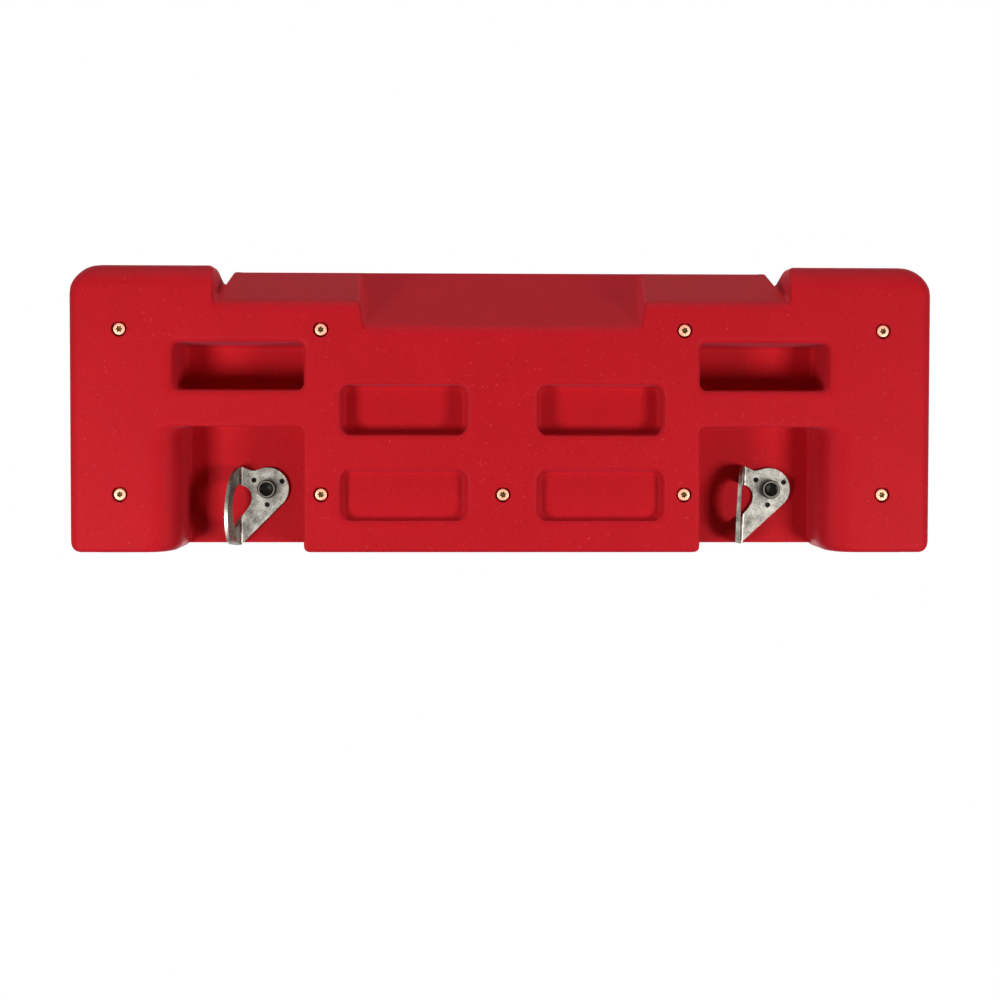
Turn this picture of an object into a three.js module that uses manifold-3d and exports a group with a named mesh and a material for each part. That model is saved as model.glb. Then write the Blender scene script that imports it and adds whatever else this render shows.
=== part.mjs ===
// A climbing training board that is screwed flat to a wall: a cast resin board with slopers,
// finger pockets and two open niches, a bolt hanger in each niche, and the screws that hold it.
// Millimetres. X runs to the right, Z up, and -Y out of the wall towards the climber.
// The origin is the middle of the board's back face.

import * as THREE from 'three';
import { mergeVertices } from 'three/addons/utils/BufferGeometryUtils.js';
import Module from 'manifold-3d';

// Fits and fineness
const seatGap = 0.3;
const overrun = 6;
const weldDistance = 0.0005;
const leastRadius = 0.4;
const cornerSteps = 6;
const roundSteps = 6;
const bendSteps = 6;
const holeSteps = 20;
const ventSteps = 12;
const screwSteps = 16;
const boltSteps = 24;

// Board, outer form
const boardWidth = 711;
const boardHeight = 237;
const boardDepth = 68;
const shoulderRadius = 23;
const outerFootRadius = 8;
const browRounding = 20;
const flankRounding = 10;
const footRounding = 4;

// Slopers along the top, between the end blocks
const sloperHalfWidth = 237.4;
const sloperBackStep = 0.9;
const sideSloperFall = 31;
const sideSloperLip = 10.5;
const centreSloperHalfWidth = 112.8;
const centreSloperFall = 52;
const centreSloperLip = 11;
const stepDraftDegrees = 7.5;
const shoulderEdgeRadius = 6;

// V groove between each end block and its sloper
const grooveDepth = 13.8;
const grooveBlockFlank = 10.2;
const grooveSloperFlank = 9.6;
const grooveFrontShift = 1.2;

// Finger pockets
const centrePillarWidth = 59.8;
const centrePocketWidth = 102.5;
const centrePocketHeight = 40;
const upperPocketDepth = 20;
const lowerPocketDepth = 10;
const lowerPocketRise = 27.3;
const centrePocketCorner = 8;
const pocketRim = 4.5;
const pocketFloorRounding = 4;
const pocketDraft = 1;
const outerPocketWidth = 105.8;
const outerPocketHeight = 39.1;
const outerPocketDepth = 50;
const outerPocketCorner = 5;
const outerPocketSoftRim = 8;
const ledgeThickness = 30.1;

// Niches, open at the bottom, and the plate left behind them
const panelHalfWidth = 163.3;
const nicheWidth = 102;
const nicheHeight = 103.8;
const nicheDepth = 53;
const nicheCorner = 5;
const nicheRim = 2;
const nicheBlockRounding = 23;
const blockFootRadius = 10;
const panelFootRadius = 5;
const plateTrim = 4.2;

// Wood screws
const screwEndInset = 41.5;
const screwPanelInset = 13.7;
const screwRowShift = 0.5;
const lowScrewRise = 47.8;
const screwRowSpacing = 135.4;
const screwLength = 100;
const screwHeadRadius = 5;
const screwRimHeight = 0.85;
const screwShankRadius = 2.2;
const screwThreadRadius = 3;
const screwThreadLength = 60;
const screwPointLength = 8;
const screwSink = 1.2;
const screwRingGap = 1.4;
const starRadius = 2.75;
const starLobe = 0.42;
const starDepth = 2.8;
const starLobeCount = 6;
const starPointCount = 24;

// Hanger plate, measured from its bolt hole
const boltOffset = 15.7;
const boltDrop = 53.3;
const hangerThickness = 3;
const hangerHeadRadius = 17.8;
const hangerHoleRadius = 6;
const hangerTop = 18.5;
const hangerFoot = 47.9;
const hangerBendOffset = 22.7;
const hangerBendRadius = 3;
const hangerLowerEdgeDegrees = 45;
const hangerHeadEndDegrees = 113;
const hangerHeadSteps = 14;
const hangerDipReach = 12.7;
const hangerDipHeight = 15;
const hangerDipSteps = 9;
const ventHoleRadius = 2.25;
const ventCircleRadius = 13.7;
const ventAnglesDegrees = [27, 148, 268];
const rightHangerTurnDegrees = -2.5;

// Hanger ear and its eye
const earReach = 32;
const earLeanDegrees = 12;
const eyeTop = 3.1;
const eyeBendFoot = 24.7;
const eyeLowest = 32.3;
const eyePlateReach = 9.2;
const eyeEarReach = 20.3;
const earOutlineSteps = 30;
const eyePlateSteps = 16;
const eyeEarSteps = 24;
// Ear outline: share of the reach, then share of the full height up from the foot
const earOutlineShares = [
  [0, 1], [0.29, 0.971], [0.556, 0.911], [0.72, 0.816], [0.86, 0.7], [0.966, 0.56],
  [1, 0.405], [0.97, 0.245], [0.87, 0.112], [0.69, 0.038], [0.42, 0.008], [0, 0],
];
// Eye outline in the plate: share of its reach, then share of the height up from the bend foot
const eyePlateShares = [
  [0, 1], [0.5, 0.93], [0.87, 0.8], [1, 0.645], [0.93, 0.465], [0.62, 0.27], [0.2, 0.09], [0, 0],
];
// Eye outline in the ear: share of its reach, then share of the height up from the lowest point
const eyeEarShares = [
  [0, 0.215], [0.3, 0.045], [0.58, 0], [0.86, 0.105], [0.99, 0.33], [0.98, 0.575],
  [0.83, 0.8], [0.58, 0.945], [0.3, 1.005], [0, 1],
];

// Cap screw and threaded insert
const capHeadRadius = 8;
const capHeadHeight = 10;
const capHeadChamfer = 0.9;
const capShankRadius = 4.75;
const capShankLength = 16;
const socketAcrossFlats = 8;
const socketDepth = 5;
const insertWall = 1.2;
const insertBarrelLength = 9.6;
const insertFlangeRadius = 12.5;
const insertFlangeThickness = 1.6;
const prongCount = 4;
const prongWidth = 3;
const prongThickness = 1.2;
const prongLength = 6.5;
const prongInset = 1;

// Places worked out from the sizes above
const boardFrontY = -boardDepth;
const boardTopZ = boardHeight / 2;
const boardBottomZ = -boardHeight / 2;
const boardEndX = boardWidth / 2;
const sloperBackZ = boardTopZ - sloperBackStep;
const nicheTopZ = boardBottomZ + nicheHeight;
const nicheFloorY = boardFrontY + nicheDepth;
const nicheOuterX = panelHalfWidth + nicheWidth;
const nicheCentreX = panelHalfWidth + nicheWidth / 2;
const boltZ = nicheTopZ - boltDrop;
const hangerBackY = nicheFloorY - seatGap;
const hangerFrontY = hangerBackY - hangerThickness;
const capSeatY = hangerFrontY - seatGap;
const insertBoreRadius = capShankRadius + seatGap;
const insertBarrelRadius = insertBoreRadius + insertWall;
const insertBackY = -seatGap;
const insertFlangeY = insertBackY - insertFlangeThickness;
const screwHeadY = boardFrontY + screwSink;
const lowScrewZ = boardBottomZ + lowScrewRise;
const highScrewZ = lowScrewZ + screwRowSpacing;

const wasm = await Module();
wasm.setup();

// Solids: a geometry becomes a solid that can be joined and cut, and turns back into a geometry

function signedVolume(positions, index) {
  const a = new THREE.Vector3();
  const b = new THREE.Vector3();
  const c = new THREE.Vector3();
  let sum = 0;
  for (let i = 0; i < index.length; i += 3) {
    a.fromArray(positions, 3 * index[i]);
    b.fromArray(positions, 3 * index[i + 1]);
    c.fromArray(positions, 3 * index[i + 2]);
    sum += a.dot(b.cross(c));
  }
  return sum / 6;
}

function solidOf(geometry) {
  const bare = geometry.clone();
  bare.deleteAttribute('normal');
  bare.deleteAttribute('uv');
  const welded = mergeVertices(bare, weldDistance);
  const vertProperties = Float32Array.from(welded.attributes.position.array);
  const source = welded.index.array;
  const kept = [];
  for (let i = 0; i < source.length; i += 3) {
    const [a, b, c] = [source[i], source[i + 1], source[i + 2]];
    if (a !== b && b !== c && c !== a) kept.push(a, b, c);
  }
  if (signedVolume(vertProperties, kept) < 0) kept.reverse();
  const triVerts = Uint32Array.from(kept);
  return new wasm.Manifold(new wasm.Mesh({ numProp: 3, vertProperties, triVerts }));
}

function geometryOf(solid) {
  const mesh = solid.getMesh();
  const geometry = new THREE.BufferGeometry();
  geometry.setAttribute('position', new THREE.Float32BufferAttribute(mesh.vertProperties, 3));
  geometry.setIndex(new THREE.Uint32BufferAttribute(mesh.triVerts, 1));
  geometry.computeVertexNormals();
  return geometry;
}

// Outlines drawn in X and Z run along Y, those in Y and Z run along X, those in X and Y along Z
const axisX = new THREE.Vector3(1, 0, 0);
const axisY = new THREE.Vector3(0, 1, 0);
const axisZ = new THREE.Vector3(0, 0, 1);
const runs = {
  x: new THREE.Matrix4().makeBasis(axisY, axisZ, axisX),
  y: new THREE.Matrix4().makeBasis(axisZ, axisX, axisY),
  z: new THREE.Matrix4().makeBasis(axisX, axisY, axisZ),
};

// An outline for a run along Y is drawn as [z, x], so that all three runs are turned, not mirrored
function prism(outline, axis, from, to, curveSegments = holeSteps) {
  const geometry = new THREE.ExtrudeGeometry(outline, {
    depth: to - from,
    bevelEnabled: false,
    curveSegments,
  });
  geometry.translate(0, 0, from);
  geometry.applyMatrix4(runs[axis]);
  return solidOf(geometry);
}

function polygon(points) {
  return new THREE.Shape(points.map(([x, y]) => new THREE.Vector2(x, y)));
}

// Points given as [x, z] become an outline for a run along Y
function frontPolygon(points) {
  return polygon(points.map(([x, z]) => [z, x]));
}

function turned(profile, steps = holeSteps) {
  const points = profile.map(([radius, y]) => new THREE.Vector2(radius, y));
  return solidOf(new THREE.LatheGeometry(points, steps));
}

function smooth(points, steps) {
  const curve = new THREE.SplineCurve(points.map(([x, y]) => new THREE.Vector2(x, y)));
  return curve.getPoints(steps).map((point) => [point.x, point.y]);
}

function radians(degrees) {
  return THREE.MathUtils.degToRad(degrees);
}

// Rings of equal point count, skinned and capped into one closed body
function loft(rings) {
  const count = rings[0].length;
  const positions = rings.flat().flatMap((point) => [point.x, point.y, point.z]);
  const index = [];
  for (let ring = 0; ring + 1 < rings.length; ring++) {
    for (let i = 0; i < count; i++) {
      const next = (i + 1) % count;
      const a = ring * count + i;
      const b = ring * count + next;
      index.push(a, b, b + count, a, b + count, a + count);
    }
  }
  const cap = (ring, start, sameWay) => {
    const flat = ring.map((point) => new THREE.Vector2(point.x, point.z));
    const ringArea = THREE.ShapeUtils.area(flat);
    for (const [a, b, c] of THREE.ShapeUtils.triangulateShape(flat, [])) {
      const area = THREE.ShapeUtils.area([flat[a], flat[b], flat[c]]);
      const keep = (area * ringArea > 0) === sameWay;
      index.push(start + a, start + (keep ? b : c), start + (keep ? c : b));
    }
  };
  cap(rings[0], 0, false);
  cap(rings[rings.length - 1], (rings.length - 1) * count, true);
  const geometry = new THREE.BufferGeometry();
  geometry.setAttribute('position', new THREE.Float32BufferAttribute(positions, 3));
  geometry.setIndex(index);
  return solidOf(geometry);
}

// How far a surface has drawn back at a depth below the front, for an edge rounded by a radius
function roundedDraw(radius, depth) {
  if (depth >= radius) return 0;
  const left = radius - depth;
  return radius - Math.sqrt(radius * radius - left * left);
}

// Depths of the rings that round an edge, closer together near the front
function roundingDepths(radius) {
  const depths = [];
  for (let step = 0; step <= roundSteps; step++) {
    depths.push(radius * (1 - Math.cos((step / roundSteps) * Math.PI / 2)));
  }
  return depths;
}

function uniqueDepths(lists) {
  const sorted = lists.flat().sort((a, b) => a - b);
  return sorted.filter((depth, i) => i === 0 || depth - sorted[i - 1] > leastRadius / 2);
}

// A rounded panel outline at one depth; grow moves each side out, or in where it is negative
function panelRing(sides, radii, grow, y) {
  const corners = [
    [1, 1, 'right', 'top'], [-1, 1, 'left', 'top'],
    [-1, -1, 'left', 'bottom'], [1, -1, 'right', 'bottom'],
  ];
  const points = [];
  corners.forEach(([signX, signZ, sideX, sideZ], quarter) => {
    const radiusX = Math.max(radii[sideZ] + grow[sideX], leastRadius);
    const radiusZ = Math.max(radii[sideZ] + grow[sideZ], leastRadius);
    const centreX = sides[sideX] + signX * (grow[sideX] - radiusX);
    const centreZ = sides[sideZ] + signZ * (grow[sideZ] - radiusZ);
    for (let step = 0; step <= cornerSteps; step++) {
      const angle = (quarter + step / cornerSteps) * Math.PI / 2;
      const x = centreX + radiusX * Math.cos(angle);
      const z = centreZ + radiusZ * Math.sin(angle);
      points.push(new THREE.Vector3(x, y, z));
    }
  });
  return points;
}

function eachSide(rounding, change) {
  return {
    left: change(rounding.left),
    right: change(rounding.right),
    top: change(rounding.top),
    bottom: change(rounding.bottom),
  };
}

// Board blank: a slab with its front edges rounded
function boardBlank() {
  const sides = { left: -boardEndX, right: boardEndX, bottom: boardBottomZ, top: boardTopZ };
  const radii = { top: shoulderRadius, bottom: outerFootRadius };
  const rounding = {
    left: flankRounding, right: flankRounding, top: browRounding, bottom: footRounding,
  };
  const depths = uniqueDepths(Object.values(rounding).map(roundingDepths));
  const rings = depths.map((depth) => {
    const grow = eachSide(rounding, (radius) => -roundedDraw(radius, depth));
    return panelRing(sides, radii, grow, boardFrontY + depth);
  });
  rings.push(panelRing(sides, radii, eachSide(rounding, () => 0), 0));
  return loft(rings);
}

// A pocket cutter with a rounded mouth, walls that draw in a little, and a rounded floor
function pocketCutter(sides, corner, depth, rim) {
  const radii = { top: corner, bottom: corner };
  const mouthDepths = uniqueDepths([roundingDepths(pocketRim), roundingDepths(
    Math.max(rim.left, rim.right))]);
  const mouth = mouthDepths.map((at) => {
    const grow = eachSide(rim, (radius) => roundedDraw(radius, at));
    return panelRing(sides, radii, grow, boardFrontY + at);
  });
  const front = panelRing(sides, radii, rim, boardFrontY - overrun);
  const floor = [];
  for (let step = 0; step <= roundSteps; step++) {
    const angle = (step / roundSteps) * Math.PI / 2;
    const inset = pocketDraft + pocketFloorRounding * (1 - Math.cos(angle));
    const at = depth - pocketFloorRounding * (1 - Math.sin(angle));
    const grow = eachSide(rim, () => -inset);
    floor.push(panelRing(sides, radii, grow, boardFrontY + at));
  }
  return loft([front, ...mouth, ...floor]);
}

function centrePockets() {
  const rim = { left: pocketRim, right: pocketRim, top: pocketRim, bottom: pocketRim };
  const lowerBottom = boardBottomZ + lowerPocketRise;
  const upperBottom = lowerBottom + centrePocketHeight + ledgeThickness;
  const rows = [[lowerBottom, lowerPocketDepth], [upperBottom, upperPocketDepth]];
  const cutters = [];
  for (const [bottom, depth] of rows) {
    for (const side of [-1, 1]) {
      const near = side * centrePillarWidth / 2;
      const far = near + side * centrePocketWidth;
      const sides = {
        left: Math.min(near, far),
        right: Math.max(near, far),
        bottom,
        top: bottom + centrePocketHeight,
      };
      cutters.push(pocketCutter(sides, centrePocketCorner, depth, rim));
    }
  }
  return cutters;
}

function outerPockets() {
  const bottom = nicheTopZ + ledgeThickness;
  return [-1, 1].map((side) => {
    const near = side * panelHalfWidth;
    const far = near + side * outerPocketWidth;
    const sides = {
      left: Math.min(near, far),
      right: Math.max(near, far),
      bottom,
      top: bottom + outerPocketHeight,
    };
    const rim = {
      left: side < 0 ? outerPocketSoftRim : pocketRim,
      right: side < 0 ? pocketRim : outerPocketSoftRim,
      top: pocketRim,
      bottom: pocketRim,
    };
    return pocketCutter(sides, outerPocketCorner, outerPocketDepth, rim);
  });
}

// Arc points about a centre, from one angle to another, in degrees
function arc(centreX, centreZ, radiusX, radiusZ, fromDegrees, toDegrees) {
  const points = [];
  for (let step = 0; step <= cornerSteps; step++) {
    const angle = radians(fromDegrees + (toDegrees - fromDegrees) * step / cornerSteps);
    points.push([centreX + radiusX * Math.cos(angle), centreZ + radiusZ * Math.sin(angle)]);
  }
  return points;
}

// Niche outline, right-hand side: it widens at its open bottom round the two foot edges
function nicheOutline(growBlock, growTop, growPanel) {
  const outer = nicheOuterX + growBlock;
  const inner = panelHalfWidth - growPanel;
  const top = nicheTopZ + growTop;
  const cornerTall = nicheCorner + growTop;
  const blockWide = nicheCorner + growBlock;
  const panelWide = nicheCorner + growPanel;
  const blockFoot = outer + blockFootRadius;
  const panelFoot = inner - panelFootRadius;
  const blockFootZ = boardBottomZ + blockFootRadius;
  const panelFootZ = boardBottomZ + panelFootRadius;
  return [
    [blockFoot, boardBottomZ - overrun],
    ...arc(blockFoot, blockFootZ, blockFootRadius, blockFootRadius, 270, 180),
    ...arc(outer - blockWide, top - cornerTall, blockWide, cornerTall, 0, 90),
    ...arc(inner + panelWide, top - cornerTall, panelWide, cornerTall, 90, 180),
    ...arc(panelFoot, panelFootZ, panelFootRadius, panelFootRadius, 0, -90),
    [panelFoot, boardBottomZ - overrun],
  ];
}

function nicheRing(side, outline, y) {
  return outline.map(([x, z]) => new THREE.Vector3(side * x, y, z));
}

function nicheCutters() {
  const plain = nicheOutline(0, 0, 0);
  const depths = uniqueDepths([roundingDepths(nicheBlockRounding), roundingDepths(nicheRim)]);
  const widest = nicheOutline(nicheBlockRounding, nicheRim, nicheRim);
  return [-1, 1].flatMap((side) => {
    const rings = depths.map((depth) => {
      const block = roundedDraw(nicheBlockRounding, depth);
      const rim = roundedDraw(nicheRim, depth);
      return nicheRing(side, nicheOutline(block, rim, rim), boardFrontY + depth);
    });
    rings.unshift(nicheRing(side, widest, boardFrontY - overrun));
    rings.push(nicheRing(side, plain, nicheFloorY));
    const through = loft([
      nicheRing(side, plain, boardFrontY - overrun),
      nicheRing(side, plain, overrun),
    ]);
    const below = new THREE.BoxGeometry(boardWidth, boardDepth + 4 * overrun, 2 * overrun);
    below.translate(0, boardFrontY / 2, boardBottomZ + plateTrim - overrun);
    return [loft(rings), through.intersect(solidOf(below))];
  });
}

// Sloper profile in Y and Z: all above a plane that rises from a rounded front lip to the back
function sloperProfile(fall, lip) {
  const slope = Math.atan2(fall, boardDepth);
  const frontZ = sloperBackZ - fall;
  const lipZ = frontZ - lip * Math.tan((Math.PI / 2 - slope) / 2);
  const points = [[boardFrontY - overrun, lipZ]];
  for (let step = 0; step <= roundSteps; step++) {
    const angle = Math.PI - (Math.PI / 2 - slope) * step / roundSteps;
    points.push([boardFrontY + lip + lip * Math.cos(angle), lipZ + lip * Math.sin(angle)]);
  }
  points.push([overrun, sloperBackZ + overrun * Math.tan(slope)]);
  points.push([overrun, boardTopZ + 2 * overrun]);
  points.push([boardFrontY - overrun, boardTopZ + 2 * overrun]);
  return polygon(points);
}

function sideSloperCutter() {
  const profile = sloperProfile(sideSloperFall, sideSloperLip);
  return prism(profile, 'x', -sloperHalfWidth, sloperHalfWidth);
}

// Centre sloper: lower at the front, between two walls that lean out as they rise
function centreSloperCutter() {
  const profile = sloperProfile(centreSloperFall, centreSloperLip);
  const reach = sloperHalfWidth;
  const long = prism(profile, 'x', -reach, reach);
  const footZ = sloperBackZ - centreSloperFall - centreSloperLip;
  const topZ = boardTopZ + overrun;
  const lean = (topZ - footZ) * Math.tan(radians(stepDraftDegrees));
  const walls = frontPolygon([
    [-centreSloperHalfWidth, footZ], [centreSloperHalfWidth, footZ],
    [centreSloperHalfWidth + lean, topZ], [-centreSloperHalfWidth - lean, topZ],
  ]);
  return long.intersect(prism(walls, 'y', boardFrontY - 2 * overrun, 2 * overrun));
}

// V groove that runs forward from the back edge and fades out at the front lip
function grooveCutters() {
  const apexBackZ = sloperBackZ - grooveDepth;
  const apexFrontZ = sloperBackZ - sideSloperFall;
  const height = boardTopZ + overrun;
  const blockSlope = grooveBlockFlank / (boardTopZ - apexBackZ);
  const sloperSlope = grooveSloperFlank / grooveDepth;
  const wide = grooveSloperFlank + sloperSlope * sloperBackStep;
  return [-1, 1].map((side) => {
    const back = [
      [sloperHalfWidth, apexBackZ],
      [sloperHalfWidth - wide, sloperBackZ + sloperBackStep],
      [sloperHalfWidth - wide, height],
      [sloperHalfWidth + blockSlope * (height - apexBackZ), height],
    ];
    const front = [
      [sloperHalfWidth - grooveFrontShift, apexFrontZ],
      [sloperHalfWidth - wide, apexFrontZ + sloperBackStep],
      [sloperHalfWidth - wide, height],
      [sloperHalfWidth, height],
    ];
    const ring = (outline, y) => outline.map(([x, z]) => new THREE.Vector3(side * x, y, z));
    const along = (y) => {
      const share = (y - boardFrontY) / boardDepth;
      return front.map(([x, z], i) => [
        x + (back[i][0] - x) * share,
        z + (back[i][1] - z) * share,
      ]);
    };
    return loft([ring(front, boardFrontY), ring(along(overrun), overrun)]);
  });
}

// Small roundings on the two edges of each end block beside its sloper
function shoulderEdgeCutters() {
  const radius = shoulderEdgeRadius;
  return [-1, 1].map((side) => {
    const edge = [
      ...arc(sloperHalfWidth + radius, boardTopZ - radius, radius, radius, 180, 90),
      [sloperHalfWidth + radius, boardTopZ + overrun],
      [sloperHalfWidth - overrun, boardTopZ + overrun],
      [sloperHalfWidth - overrun, boardTopZ - radius],
    ];
    const outline = frontPolygon(edge.map(([x, z]) => [side * x, z]));
    return prism(outline, 'y', boardFrontY - overrun, overrun);
  });
}

const screwPlaces = [
  [-boardEndX + screwEndInset, highScrewZ],
  [-panelHalfWidth + screwPanelInset, highScrewZ],
  [panelHalfWidth - screwPanelInset, highScrewZ],
  [boardEndX - screwEndInset, highScrewZ],
  [-boardEndX + screwEndInset, lowScrewZ],
  [-panelHalfWidth + screwPanelInset, lowScrewZ],
  [0, lowScrewZ],
  [panelHalfWidth - screwPanelInset, lowScrewZ],
  [boardEndX - screwEndInset, lowScrewZ],
].map(([x, z]) => [x + screwRowShift, z]);

const boltPlaces = [-nicheCentreX + boltOffset, nicheCentreX + boltOffset];

// Screw hole: a short counterbore, a 90 degree countersink and a clearance bore
function screwHoleCutter() {
  const mouth = screwHeadRadius + screwRingGap;
  const bore = screwThreadRadius + seatGap;
  const headFoot = screwSink + screwRimHeight;
  const coneStart = headFoot + seatGap * Math.SQRT2 - screwRingGap;
  return turned([
    [0, boardFrontY - overrun],
    [mouth, boardFrontY - overrun],
    [mouth, boardFrontY + coneStart],
    [bore, boardFrontY + coneStart + mouth - bore],
    [bore, overrun],
    [0, overrun],
  ]);
}

// Insert seat, from the back: flange recess, barrel bore, and a bolt bore through to the niche
function insertSeatCutter() {
  const flangeFloor = insertFlangeY - seatGap;
  const barrelEnd = insertFlangeY - insertBarrelLength - seatGap;
  const bolt = turned([
    [0, nicheFloorY - overrun],
    [insertBoreRadius + seatGap, nicheFloorY - overrun],
    [insertBoreRadius + seatGap, barrelEnd],
    [insertBarrelRadius + seatGap, barrelEnd],
    [insertBarrelRadius + seatGap, flangeFloor],
    [insertFlangeRadius + seatGap, flangeFloor],
    [insertFlangeRadius + seatGap, overrun],
    [0, overrun],
  ]);
  return prongs(seatGap).reduce((solid, prong) => solid.add(prong), bolt);
}

// The insert's prongs, pressed forward into the resin; grown by a gap, they cut their own slots
function prongs(gap) {
  const solids = [];
  for (let i = 0; i < prongCount; i++) {
    const box = new THREE.BoxGeometry(
      prongWidth + 2 * gap,
      prongLength + gap + insertFlangeThickness / 2,
      prongThickness + 2 * gap,
    );
    const length = prongLength + gap - insertFlangeThickness / 2;
    box.translate(0, insertFlangeY - length / 2, insertFlangeRadius - prongInset - prongThickness / 2);
    box.rotateY((i + 0.5) * 2 * Math.PI / prongCount);
    solids.push(solidOf(box));
  }
  return solids;
}

function boardBody() {
  const cutters = [
    ...centrePockets(),
    ...outerPockets(),
    ...nicheCutters(),
    sideSloperCutter(),
    centreSloperCutter(),
    ...grooveCutters(),
    ...shoulderEdgeCutters(),
  ];
  let board = boardBlank();
  for (const cutter of cutters) {
    board = board.subtract(cutter);
  }
  const hole = screwHoleCutter();
  for (const [x, z] of screwPlaces) {
    board = board.subtract(hole.translate([x, 0, z]));
  }
  const seat = insertSeatCutter();
  for (const x of boltPlaces) {
    board = board.subtract(seat.translate([x, 0, boltZ]));
  }
  return geometryOf(board);
}

// Six-lobed driver recess
function starOutline() {
  const points = [];
  for (let i = 0; i < starPointCount; i++) {
    const angle = (i / starPointCount) * 2 * Math.PI;
    const radius = starRadius - starLobe + starLobe * Math.cos(starLobeCount * angle);
    points.push([radius * Math.cos(angle), radius * Math.sin(angle)]);
  }
  return frontPolygon(points);
}

// Wood screw, with its head towards the climber and its point beyond the back of the board
function woodScrew() {
  const rimFoot = screwHeadY + screwRimHeight;
  const coneFoot = rimFoot + screwHeadRadius - screwShankRadius;
  const tipY = screwHeadY + screwLength;
  const threadStart = tipY - screwThreadLength;
  const step = screwThreadRadius - screwShankRadius;
  const body = turned([
    [0, screwHeadY],
    [screwHeadRadius, screwHeadY],
    [screwHeadRadius, rimFoot],
    [screwShankRadius, coneFoot],
    [screwShankRadius, threadStart],
    [screwThreadRadius, threadStart + step],
    [screwThreadRadius, tipY - screwPointLength],
    [0, tipY],
  ], screwSteps);
  const recess = prism(starOutline(), 'y', screwHeadY - overrun, screwHeadY + starDepth);
  return geometryOf(body.subtract(recess));
}

// Cap screw: chamfered round head with a hexagon socket, and a plain shank
function capScrew() {
  const headTop = -capHeadHeight;
  const shankEnd = capShankLength;
  const body = turned([
    [0, headTop],
    [capHeadRadius - capHeadChamfer, headTop],
    [capHeadRadius, headTop + capHeadChamfer],
    [capHeadRadius, 0],
    [capShankRadius, 0],
    [capShankRadius, shankEnd - capHeadChamfer],
    [capShankRadius - capHeadChamfer, shankEnd],
    [0, shankEnd],
  ], boltSteps);
  const corner = socketAcrossFlats / Math.sqrt(3);
  const hexagon = [0, 1, 2, 3, 4, 5].map((i) => {
    const angle = i * Math.PI / 3;
    return [corner * Math.cos(angle), corner * Math.sin(angle)];
  });
  const socket = prism(frontPolygon(hexagon), 'y', headTop - overrun, headTop + socketDepth);
  return geometryOf(body.subtract(socket));
}

// Threaded insert: a flanged barrel with prongs
function threadedInsert() {
  const barrel = turned([
    [insertBoreRadius, insertBackY],
    [insertBoreRadius, insertFlangeY - insertBarrelLength],
    [insertBarrelRadius, insertFlangeY - insertBarrelLength],
    [insertBarrelRadius, insertFlangeY],
    [insertFlangeRadius, insertFlangeY],
    [insertFlangeRadius, insertBackY],
    [insertBoreRadius, insertBackY],
  ], boltSteps);
  return geometryOf(prongs(0).reduce((solid, prong) => solid.add(prong), barrel));
}

// Where the hanger's plate turns into its ear, seen along Z
const hangerBend = (() => {
  const lean = radians(earLeanDegrees);
  const turn = Math.PI / 2 - lean;
  const tangent = hangerBendRadius * Math.tan(turn / 2);
  return {
    lean,
    tangent,
    along: new THREE.Vector2(-Math.sin(lean), -Math.cos(lean)),
    outward: new THREE.Vector2(-Math.cos(lean), Math.sin(lean)),
    corner: new THREE.Vector2(-hangerBendOffset, -hangerThickness),
    centre: new THREE.Vector2(-hangerBendOffset + tangent, -hangerThickness - hangerBendRadius),
  };
})();

// The bent strip, as tall as the hanger, before its outline is cut
function hangerStrip() {
  const { lean, tangent, along, outward, centre } = hangerBend;
  const end = earReach - tangent;
  const outerRadius = hangerBendRadius + hangerThickness;
  const right = hangerHeadRadius + overrun;
  const tip = (radius) => centre.clone().addScaledVector(outward, radius).addScaledVector(along, end);
  const shape = new THREE.Shape();
  shape.moveTo(right, 0);
  shape.lineTo(centre.x, 0);
  shape.absarc(centre.x, centre.y, outerRadius, Math.PI / 2, Math.PI - lean, false);
  shape.lineTo(tip(outerRadius).x, tip(outerRadius).y);
  shape.lineTo(tip(hangerBendRadius).x, tip(hangerBendRadius).y);
  shape.absarc(centre.x, centre.y, hangerBendRadius, Math.PI - lean, Math.PI / 2, true);
  shape.lineTo(right, -hangerThickness);
  return prism(shape, 'z', -hangerFoot - overrun, hangerTop + overrun, bendSteps);
}

// The plate's own outline; it leaves everything left of the bend free
function hangerPlateOutline() {
  const startDegrees = -hangerLowerEdgeDegrees;
  const spanDegrees = hangerHeadEndDegrees - startDegrees;
  const head = [];
  for (let step = 0; step <= hangerHeadSteps; step++) {
    const angle = radians(startDegrees + spanDegrees * step / hangerHeadSteps);
    head.push([hangerHeadRadius * Math.cos(angle), hangerHeadRadius * Math.sin(angle)]);
  }
  const dip = smooth([
    head[head.length - 1],
    [-hangerDipReach, hangerDipHeight],
    [-(hangerDipReach + hangerBendOffset) / 2, (hangerDipHeight + hangerTop) / 2],
    [-hangerBendOffset, hangerTop],
  ], hangerDipSteps).slice(1);
  const farLeft = -hangerBendOffset - earReach;
  const lowest = -hangerFoot - overrun;
  const run = (head[0][1] - lowest) / Math.tan(radians(hangerLowerEdgeDegrees));
  return frontPolygon([
    ...head,
    ...dip,
    [-hangerBendOffset, hangerTop + overrun],
    [farLeft, hangerTop + overrun],
    [farLeft, lowest],
    [head[0][0] - run, lowest],
  ]);
}

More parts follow.
